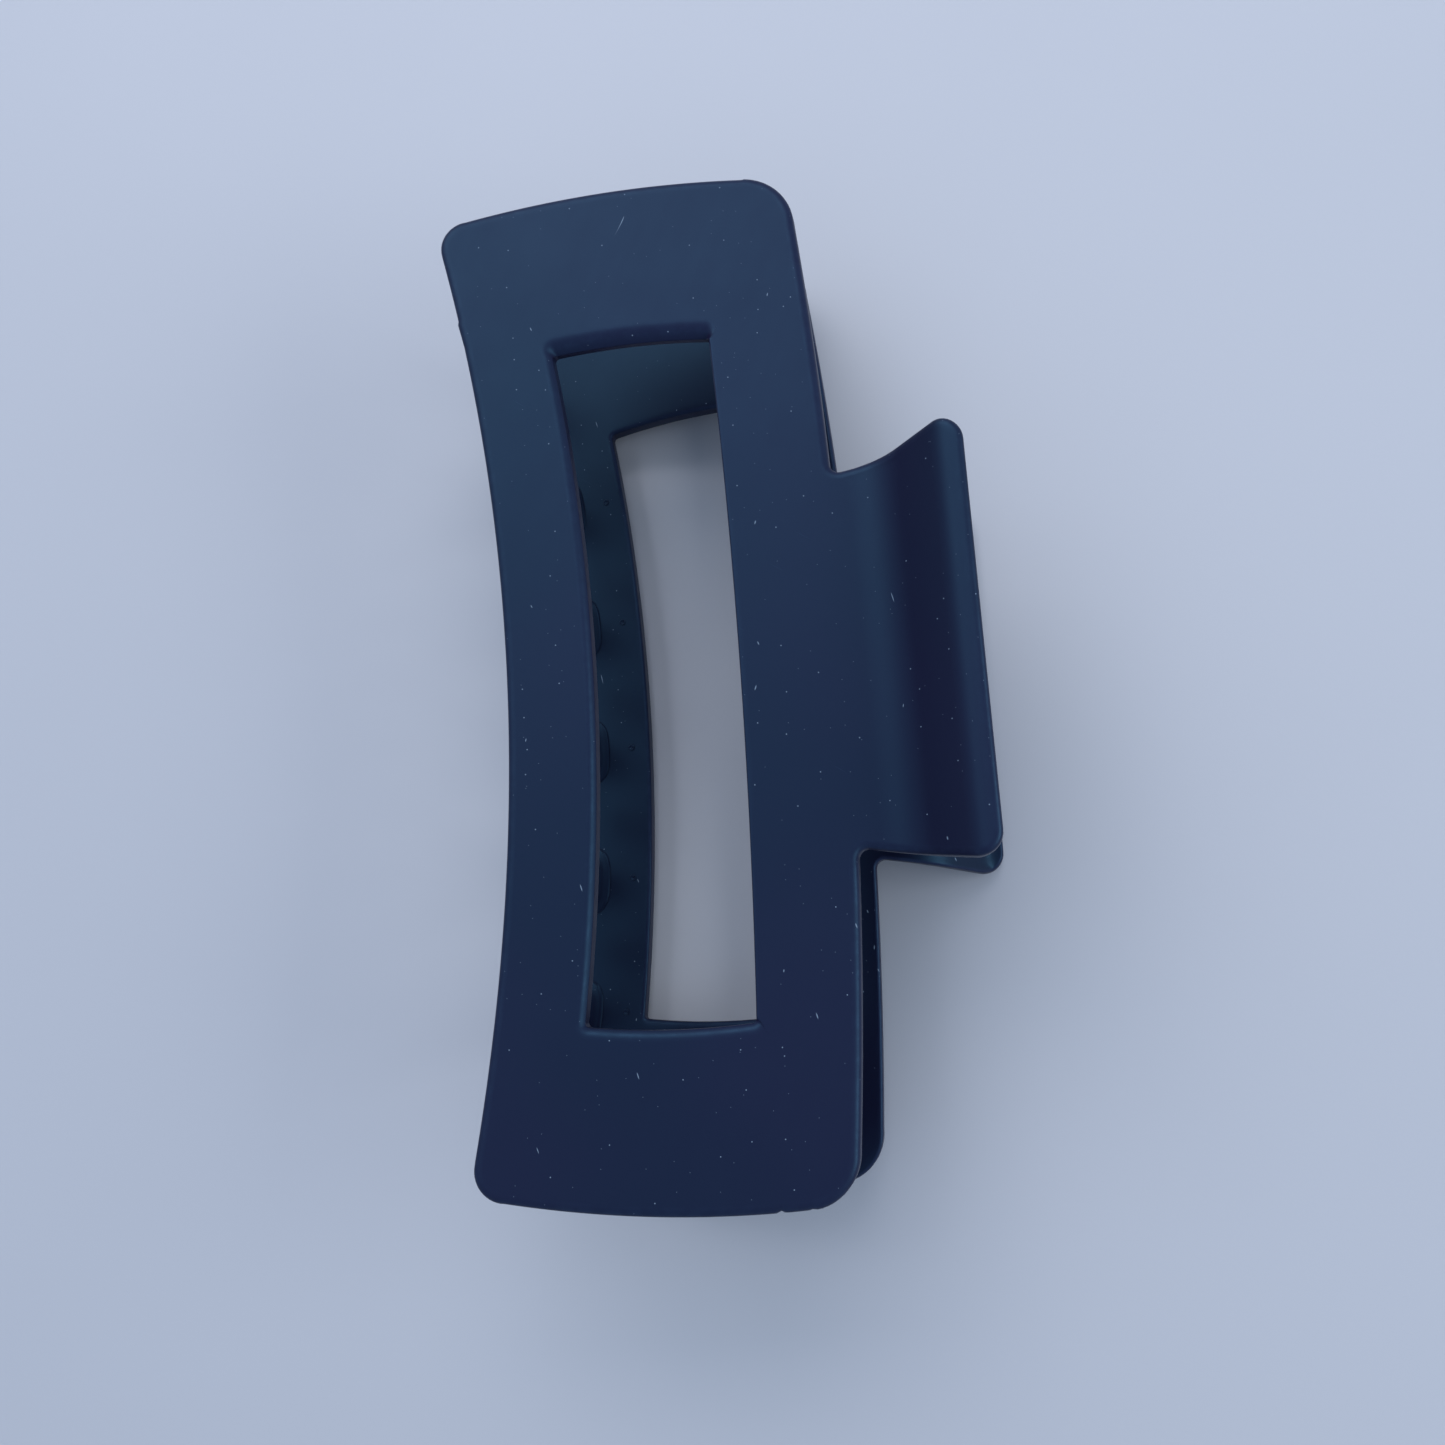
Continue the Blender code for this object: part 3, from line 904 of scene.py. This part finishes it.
@dataclass
class Spring:
    """The torsion spring: a coil round the pin and a leg to each tab."""

    size: Moulding
    wire_r: float = 0.6 * MM
    wire_gap: float = 0.35 * MM
    coil_r: float = 2.7 * MM
    turns: int = 7
    leg: float = 9.5 * MM
    foot: float = 2.5 * MM
    bend_r: float = 1.6 * MM
    steps_per_turn: int = 34

    def half_span(self) -> float:
        """Half the length of the coil along the pin, between its two ends' middles."""
        pitch = 2 * self.wire_r + self.wire_gap
        return pitch * (self.turns * tau - 2 * self.lean() - pi) / tau / 2

    def lean(self) -> float:
        """Angle of a leg above the mid-plane.

        A leg leaves the coil along a tangent, and its end lies a gap off the tab's inner
        face: coil_r cos(t) + leg sin(t) = the clear distance, where t is lean less the
        tab's own angle.
        """
        tab = self.size.tab_line()
        clear = tab.at_axis * cos(atan(tab.rise)) - self.size.wall - self.wire_r - self.wire_gap
        span = hypot(self.coil_r, self.leg)
        half_turn = atan((self.leg - sqrt(span**2 - clear**2)) / (self.coil_r + clear))
        return atan(tab.rise) + 2 * half_turn

    def path(self) -> Array:
        """Middle line: foot, bend, leg, coil, leg, bend and foot, in short steps.

        The coil is a helix, (r cos a, p a, r sin a), turning clockwise from the lower leg to
        the upper one. Each bend is a quadratic curve between the leg and the foot.
        """
        lean, tab = self.lean(), atan(self.size.tab_line().rise)
        sweep = self.turns * tau - 2 * lean - pi
        share = np.linspace(0, 1, int(self.steps_per_turn * sweep / tau))
        turn = -(lean + pi / 2) - sweep * share
        half = self.half_span()
        coil_x, coil_z = self.coil_r * np.cos(turn), self.coil_r * np.sin(turn)
        coil = np.stack([coil_x, half * (2 * share - 1), coil_z], axis=-1)
        leg = np.array([cos(lean), 0.0, sin(lean)])
        foot = np.array([cos(tab), 0.0, sin(tab)])
        knee = coil[-1] + leg * self.leg
        start, stop = knee - leg * self.bend_r, knee + foot * self.bend_r * 0.6
        t = np.linspace(0, 1, 9)[:, None]
        curve = start * (1 - t) ** 2 + knee * 2 * t * (1 - t) + stop * t**2
        straight = np.linspace(coil[-1], start, 18)[1:-1]
        toe = np.linspace(stop, knee + foot * self.foot, 8)[1:]
        upper = np.concatenate([straight, curve, toe])
        lower = upper[::-1] * np.array([1.0, -1.0, -1.0])
        return np.concatenate([lower, coil, upper])

    def add_to(self, shell: Shell) -> None:
        """Adds the wire: a circle carried along the path, square to it, with rounded ends."""
        path = self.path()
        ahead = unit(np.gradient(path, axis=0))
        along_pin = np.array([0.0, 1.0, 0.0])
        second = unit(along_pin - ahead * (ahead @ along_pin)[:, None])
        first = np.cross(second, ahead)
        cap = np.linspace(0, pi / 2, 6)[1:-1]
        before = path[0] - ahead[0] * self.wire_r * 0.7 * np.sin(cap[::-1])[:, None]
        after = path[-1] + ahead[-1] * self.wire_r * 0.7 * np.sin(cap)[:, None]
        radius = self.wire_r * np.concatenate([np.cos(cap[::-1]), np.ones(len(path)), np.cos(cap)])
        path = np.concatenate([before, path, after])
        first, second = (
            np.concatenate([way[:1].repeat(len(cap), 0), way, way[-1:].repeat(len(cap), 0)])
            for way in (first, second)
        )
        turn = np.linspace(0, tau, 18, endpoint=False)
        across = first[:, None, :] * (radius[:, None] * np.cos(turn))[..., None]
        beside = second[:, None, :] * (radius[:, None] * np.sin(turn))[..., None]
        grid = tube(path, across, beside)
        shell.add_grid(grid, np.zeros(grid.shape[:2]), 0.0, wrap_rows=False, cap_ends=True)


# ---------------------------------------------------------------------------------------
# Finishes


class Value:
    """A node socket that can be used in arithmetic. Each operation adds a Math node."""

    def __init__(self, nodes: "Nodes", socket: bpy.types.NodeSocket) -> None:
        """Wraps a socket of a material's tree."""
        self.nodes = nodes
        self.socket = socket

    def _math(self, operation: str, *values: "Value | float") -> "Value":
        """Adds a Math node."""
        return self.nodes.add("ShaderNodeMath", {"operation": operation}, values)

    def __add__(self, other: "Value | float") -> "Value":
        """Sum."""
        return self._math("ADD", self, other)

    __radd__ = __add__

    def __sub__(self, other: "Value | float") -> "Value":
        """Difference."""
        return self._math("SUBTRACT", self, other)

    def __rsub__(self, other: "Value | float") -> "Value":
        """Difference, when the number comes first."""
        return self._math("SUBTRACT", other, self)

    def __mul__(self, other: "Value | float") -> "Value":
        """Product."""
        return self._math("MULTIPLY", self, other)

    __rmul__ = __mul__

    def __gt__(self, other: "Value | float") -> "Value":
        """1 where this is greater."""
        return self._math("GREATER_THAN", self, other)

    def __lt__(self, other: "Value | float") -> "Value":
        """1 where this is less."""
        return self._math("LESS_THAN", self, other)

    def between(self, low: float, high: float) -> "Value":
        """Rises smoothly from 0 at low to 1 at high, or falls if low is above high."""
        settings = {"interpolation_type": "SMOOTHSTEP"}
        if low < high:
            return self.nodes.add("ShaderNodeMapRange", settings, (self, low, high, 0.0, 1.0))
        return self.nodes.add("ShaderNodeMapRange", settings, (self, high, low, 1.0, 0.0))


class Nodes:
    """A material's node tree, and the one method that adds to it."""

    def __init__(self, name: str) -> None:
        """Starts a material with Object coordinates at hand."""
        self.material = bpy.data.materials.new(name)
        self.material.use_nodes = True
        self.tree = self.material.node_tree
        self.shader = self.tree.nodes["Principled BSDF"]
        self.place = self.add("ShaderNodeTexCoord", output="Object")

    def add(
        self,
        kind: str,
        settings: dict[str, object] | None = None,
        values: tuple | dict[str, object] = (),
        output: str | int = 0,
    ) -> Value:
        """Adds a node.

        Args:
            kind: the node's type.
            settings: attributes, which are set first.
            values: numbers, colours or Values for its sockets, in order or by name.
            output: name or number of the socket to return.

        Returns:
            That output, ready for arithmetic.
        """
        node = self.tree.nodes.new(kind)
        for key, setting in (settings or {}).items():
            setattr(node, key, setting)
        pairs = values.items() if isinstance(values, dict) else enumerate(values)
        for key, value in pairs:
            self.feed(node.inputs[key], value)
        return Value(self, node.outputs[output])

    def feed(self, socket: bpy.types.NodeSocket, value: object) -> None:
        """Links a Value to a socket, or sets the socket to a number or colour."""
        if isinstance(value, Value):
            self.tree.links.new(value.socket, socket)
        else:
            socket.default_value = value

    def noise(
        self, scale: float, detail: float = 2.0, rough: float = 0.5, at: Value | None = None
    ) -> Value:
        """Soft noise about 0.5, with scale in cycles per metre."""
        values = {"Vector": at or self.place, "Scale": scale, "Detail": detail, "Roughness": rough}
        return self.add("ShaderNodeTexNoise", {}, values, "Fac")

    def stretched(self, scale: Triple, turn: Triple) -> Value:
        """Object coordinates, turned and then scaled along each axis."""
        turned = self.add("ShaderNodeMapping", {}, {"Vector": self.place, "Rotation": turn})
        return self.add("ShaderNodeMapping", {}, {"Vector": turned, "Scale": scale})

    def specks(
        self, scale: float, size: float, amount: float, at: Value | None = None
    ) -> Value:
        """Dots scattered over X and Y: 1 inside a dot, in the share of cells that amount gives."""
        values = {"Vector": at or self.place, "Scale": scale, "Randomness": 1.0}
        flat = {"voronoi_dimensions": "2D"}
        distance = self.add("ShaderNodeTexVoronoi", flat, values, "Distance")
        colour = self.add("ShaderNodeTexVoronoi", flat, values, "Color")
        chance = self.add("ShaderNodeSeparateColor", {}, (colour,), "Red")
        return distance.between(size, size * 0.4) * (chance < amount)

    def mix(self, factor: Value | float, first: object, second: object) -> Value:
        """Colour that goes from first to second as factor goes from 0 to 1."""
        node = self.tree.nodes.new("ShaderNodeMix")
        node.data_type = "RGBA"
        for number, value in zip((0, 6, 7), (factor, first, second)):
            self.feed(node.inputs[number], value)
        return Value(self, node.outputs[2])

    def bump(
        self, height: Value, distance: float, strength: float, under: Value | None = None
    ) -> Value:
        """Normal of a relief, with height 1 standing distance metres proud."""
        values = {"Strength": strength, "Distance": distance, "Height": height}
        if under is not None:
            values["Normal"] = under
        return self.add("ShaderNodeBump", {}, values, "Normal")


def opaque(red: float, green: float, blue: float) -> tuple[float, float, float, float]:
    """A linear colour with alpha 1."""
    return (red, green, blue, 1.0)


@dataclass(frozen=True)
class SatinPlastic:
    """Blue-black moulded plastic with a soft-touch coat, some dust, edges painted lighter as worn
    plastic and as a painted highlight, and inner faces painted darker as shade.
    """

    base: Triple = (0.0088, 0.0080, 0.0275)
    warm: Triple = (0.0115, 0.0078, 0.0305)
    # Lighter colour for worn edges and scratches, also a painted highlight along the rounded edges.
    worn_and_highlit: Triple = (0.030, 0.048, 0.095)
    dust: Triple = (0.24, 0.31, 0.40)
    # Darker colour of the inner faces, teeth and lugs: painted shade inside the clip.
    inside_shade: Triple = (0.0065, 0.0050, 0.0200)
    roughness: float = 0.44
    bare_roughness: float = 0.38
    ior: float = 1.5
    sheen_level: float = 0.45
    sheen_tint: Triple = (0.24, 0.64, 0.98)

    def bent_place(self, n: Nodes, scale: Triple, turn: float, bent: Value) -> Value:
        """Stretched coordinates that waver, so that long cells give bent fibres."""
        straight = n.stretched(scale, (0.0, 0.0, turn))
        return n.add("ShaderNodeVectorMath", {"operation": "ADD"}, (straight, bent))

    def material(self, name: str) -> bpy.types.Material:
        """Builds the material.

        Colour drifts slowly between a bluer and a more violet black. It is paler on the
        rounded edges, partly as worn plastic and partly as a painted edge highlight, and where
        dust and fibres lie, which is on level faces only. The inner faces have no coat, so they
        are smoother, and they are painted darker as painted shade inside the clip. Roughness
        varies in faint clouds and wiping marks. The relief is the coat's fine pebble over a
        slow unevenness.
        """
        n = Nodes(name)
        drift = n.noise(28.0, 1.0).between(0.35, 0.65)
        clouds = n.noise(160.0, 4.0, 0.6)
        wiped = n.stretched((900.0, 60.0, 900.0), (0.0, 0.0, radians(24)))
        wipes = n.noise(1.0, 3.0, 0.6, wiped)
        pebble = n.noise(5200.0, 2.0, 0.6)
        wear_and_highlight = n.add("ShaderNodeAttribute", {"attribute_name": "wear_and_highlight"}, output="Fac")
        patchy = n.noise(700.0, 3.0, 0.65).between(0.42, 0.62)
        # Edges count as worn where the mesh says so, in patches; painted lighter below, partly as
        # worn plastic and partly as a painted edge highlight.
        worn_and_highlit = wear_and_highlight * (0.35 + 0.65 * patchy)
        motes = n.specks(300.0, 0.026, 0.30) + n.specks(700.0, 0.036, 0.16) * 0.6
        bent = n.noise(120.0, 1.0)
        fibres = [
            n.specks(1.0, 0.022, 0.20, self.bent_place(n, (330.0, 48.0, 1.0), radians(turn), bent))
            for turn in (-14.0, 22.0)
        ]
        scratched = n.stretched((60.0, 1400.0, 1.0), (0.0, 0.0, radians(35)))
        scratches = n.specks(1.0, 0.060, 0.05, scratched)
        level = n.add("ShaderNodeAttribute", {"attribute_name": "level"}, output="Fac")
        level = level.between(0.45, 0.75)
        lying = (motes, fibres[0] + fibres[1])
        litter = n.add("ShaderNodeMath", {"operation": "MAXIMUM"}, lying) * level
        scratches = scratches * level
        body = n.mix(drift, opaque(*self.base), opaque(*self.warm))
        inside = n.add("ShaderNodeAttribute", {"attribute_name": "inside"}, output="Fac")
        # Inner faces, teeth and lugs get a darker colour: painted shade inside the clip.
        body = n.mix(inside, body, opaque(*self.inside_shade))
        # Edges painted lighter: worn plastic and a painted edge highlight.
        body = n.mix(worn_and_highlit * 0.20, body, opaque(*self.worn_and_highlit))
        body = n.mix(scratches * 0.25, body, opaque(*self.worn_and_highlit))
        n.feed(n.shader.inputs["Base Color"], n.mix(litter * 0.85, body, opaque(*self.dust)))
        rough = self.roughness - inside * (self.roughness - self.bare_roughness)
        rough = rough + (clouds - 0.5) * 0.10 + (wipes - 0.5) * 0.06 - worn_and_highlit * 0.10
        n.feed(n.shader.inputs["Roughness"], rough + litter * 0.3 - scratches * 0.08)
        slow = n.bump(n.noise(90.0, 1.0), 0.10 * MM, 0.35)
        fine = n.bump(pebble, 0.012 * MM, 0.5, slow)
        n.feed(n.shader.inputs["Normal"], n.bump(litter - scratches * 0.5, 0.03 * MM, 0.5, fine))
        n.shader.inputs["IOR"].default_value = self.ior
        n.shader.inputs["Specular IOR Level"].default_value = self.sheen_level
        n.shader.inputs["Specular Tint"].default_value = opaque(*self.sheen_tint)
        return n.material


@dataclass(frozen=True)
class DrawnSteel:
    """Bright wire with drawing lines along it and a little tarnish."""

    base: Triple = (0.56, 0.57, 0.60)
    tarnish: Triple = (0.30, 0.29, 0.29)
    roughness: float = 0.24
    lines: Triple = (4000.0, 120.0, 4000.0)

    def material(self, name: str) -> bpy.types.Material:
        """Builds the material: lines drawn along the wire, and cloudy tarnish."""
        n = Nodes(name)
        drawn = n.noise(1.0, 2.0, 0.6, n.stretched(self.lines, (0.0, 0.0, 0.0)))
        stain = n.noise(900.0, 4.0, 0.6).between(0.50, 0.75)
        colour = n.mix(stain, opaque(*self.base), opaque(*self.tarnish))
        n.feed(n.shader.inputs["Base Color"], colour)
        n.feed(n.shader.inputs["Roughness"], self.roughness + (drawn - 0.5) * 0.16 + stain * 0.20)
        n.feed(n.shader.inputs["Normal"], n.bump(drawn, 0.008 * MM, 0.6))
        n.shader.inputs["Metallic"].default_value = 1.0
        return n.material


@dataclass(frozen=True)
class PaleBoard:
    """The pale surface under the clip, with faint tooth and slow clouds of tone."""

    base: Triple = (0.60, 0.605, 0.65)
    roughness: float = 0.75

    def material(self, name: str) -> bpy.types.Material:
        """Builds the material."""
        n = Nodes(name)
        cloud = n.noise(12.0, 2.0)
        tooth = n.noise(1500.0, 2.0, 0.6)
        darker = opaque(*(0.95 * part for part in self.base))
        n.feed(n.shader.inputs["Base Color"], n.mix(cloud, opaque(*self.base), darker))
        n.feed(n.shader.inputs["Normal"], n.bump(tooth, 0.02 * MM, 0.3))
        n.shader.inputs["Roughness"].default_value = self.roughness
        return n.material


# ---------------------------------------------------------------------------------------
# The clip and its stage


def dress(made: bpy.types.Object, material: bpy.types.Material) -> bpy.types.Object:
    """Gives a piece its material."""
    made.data.materials.append(material)
    return made


@dataclass
class Jaw:
    """One jaw: plate with tab, teeth and lugs."""

    side: Side
    size: Moulding

    def build(self, plastic: bpy.types.Material) -> None:
        """Builds the jaw's three pieces and lets them ride on its body."""
        marks = 1.0 if self.side is Side.UPPER else 0.0
        parts = {
            "plate": JawPlate(self.size, marks),
            "teeth": Teeth(self.size),
            "lugs": Lugs(self.size),
        }
        for kind, part in parts.items():
            shell = Shell()
            part.add_to(shell)
            made = shell.build(f"{self.side.value}_{kind}", self.side.place)
            dress(made, plastic)
            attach(made, self.side.value)
            if kind == "plate":
                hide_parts(f"jaw_{self.side.value}")
            LOG.info("%s: %d faces", made.name, len(made.data.polygons))


@dataclass
class Hinge:
    """The pin and the spring between the jaws."""

    size: Moulding

    def build(self, pin_steel: bpy.types.Material, spring_steel: bpy.types.Material) -> None:
        """Builds both. The pin rides on the lower jaw, and the spring winds between the two."""
        shell = Shell()
        Pin().add_to(shell)
        pin = dress(shell.build("pin", Side.UPPER.place), pin_steel)
        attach(pin, Side.LOWER.value)
        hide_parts("hinge_pin")
        shell = Shell()
        spring = Spring(self.size)
        spring.add_to(shell)
        wire = dress(shell.build("spring", Side.UPPER.place), spring_steel)
        half = np.array([0.0, spring.half_span(), 0.0])
        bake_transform(wire)
        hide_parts("torsion_spring")
        for made in (pin, wire):
            LOG.info("%s: %d faces", made.name, len(made.data.polygons))


@dataclass(frozen=True)
class Panel:
    """A glowing rectangle that faces the origin, with its place in metres and power in watts."""

    name: str
    place: Triple
    size: tuple[float, float]
    power: float
    colour: Triple

    def build(self) -> None:
        """Adds the light to the scene."""
        light = bpy.data.lights.new(self.name, "AREA")
        light.shape = "RECTANGLE"
        light.size, light.size_y = self.size
        light.energy = self.power
        light.color = self.colour
        made = bpy.data.objects.new(self.name, light)
        made.location = self.place
        made.rotation_euler = (-made.location).to_track_quat("-Z", "Y").to_euler()
        bpy.context.scene.collection.objects.link(made)


@dataclass
class Studio:
    """Floor, soft light and camera. The camera's place is from the hinge axis, in metres."""

    camera_at: Triple = (11.889 * MM, -32.542 * MM, 156.062 * MM)
    camera_turn: Triple = (10.352, 10.027, -5.745)
    lens: float = 36.06
    sensor: float = 36.0
    floor_half: float = 1.2
    floor_cells: int = 8
    window: Panel = Panel("window", (-0.01, 0.22, 0.28), (0.34, 0.18), 0.35, (0.96, 0.95, 1.0))
    ceiling: Panel = Panel("ceiling", (-0.22, 0.46, 0.70), (1.1, 1.0), 2.6, (0.86, 0.92, 1.0))
    fill: Panel = Panel("side", (0.60, -0.10, 0.36), (0.50, 0.30), 1.5, (0.90, 0.96, 1.0))
    sky: Triple = (0.64, 0.82, 1.10)
    sky_strength: float = 0.50

    def build(self, board: bpy.types.Material) -> None:
        """Sets the whole stage."""
        self.floor(board)
        self.lights()
        self.camera()

    def floor(self, board: bpy.types.Material) -> None:
        """A flat sheet under the clip, worked out on a grid."""
        cells = np.arange(self.floor_cells)
        across = self.floor_cells + 1
        side = np.linspace(-self.floor_half, self.floor_half, across)
        x, y = np.meshgrid(side, side, indexing="ij")
        points = np.stack([x, y, np.full_like(x, CAD_BOX[0][2])], axis=-1).reshape(-1, 3)
        i, j = (part.reshape(-1) for part in np.meshgrid(cells, cells, indexing="ij"))
        corner, ahead = i * across + j, (i + 1) * across + j
        quads = np.stack([corner, ahead, ahead + 1, corner + 1], axis=-1)
        mesh = bpy.data.meshes.new("floor")
        mesh.from_pydata(points.tolist(), [], quads.tolist())
        mesh.materials.append(board)
        made = bpy.data.objects.new("floor", mesh)
        bpy.context.scene.collection.objects.link(made)

    def lights(self) -> None:
        """A soft window above the +Y end, a pale ceiling beyond, a fill from +X and a cool sky."""
        for panel in (self.window, self.ceiling, self.fill):
            panel.build()
        world = bpy.data.worlds.new("sky")
        world.use_nodes = True
        sky = world.node_tree.nodes["Background"]
        sky.inputs["Color"].default_value = opaque(*self.sky)
        sky.inputs["Strength"].default_value = self.sky_strength
        bpy.context.scene.world = world

    def camera(self) -> None:
        """The camera, placed from the hinge axis."""
        lens = bpy.data.cameras.new("camera")
        lens.lens, lens.sensor_width = self.lens, self.sensor
        lens.clip_start, lens.clip_end = 0.01, 20.0
        made = bpy.data.objects.new("camera", lens)
        made.location = Vector(self.camera_at) + Vector(HINGE)
        turn = Euler([radians(part) for part in self.camera_turn], "ZYX")
        made.rotation_euler = turn.to_matrix().to_euler("XYZ")
        bpy.context.scene.collection.objects.link(made)
        bpy.context.scene.camera = made
        bpy.context.scene.view_settings.view_transform = "Standard"


def main() -> None:
    """Builds the clip and its stage."""
    logging.basicConfig(level=logging.INFO, format="%(name)s: %(message)s")
    size = Moulding()
    plastic = SatinPlastic().material("satin_plastic")
    for side in Side:
        Jaw(side, size).build(plastic)
    pin_steel = DrawnSteel().material("pin_steel")
    spring_steel = DrawnSteel(roughness=0.30).material("spring_steel")
    Hinge(size).build(pin_steel, spring_steel)
    Studio().build(PaleBoard().material("pale_board"))


if __name__ == "__main__":
    main()
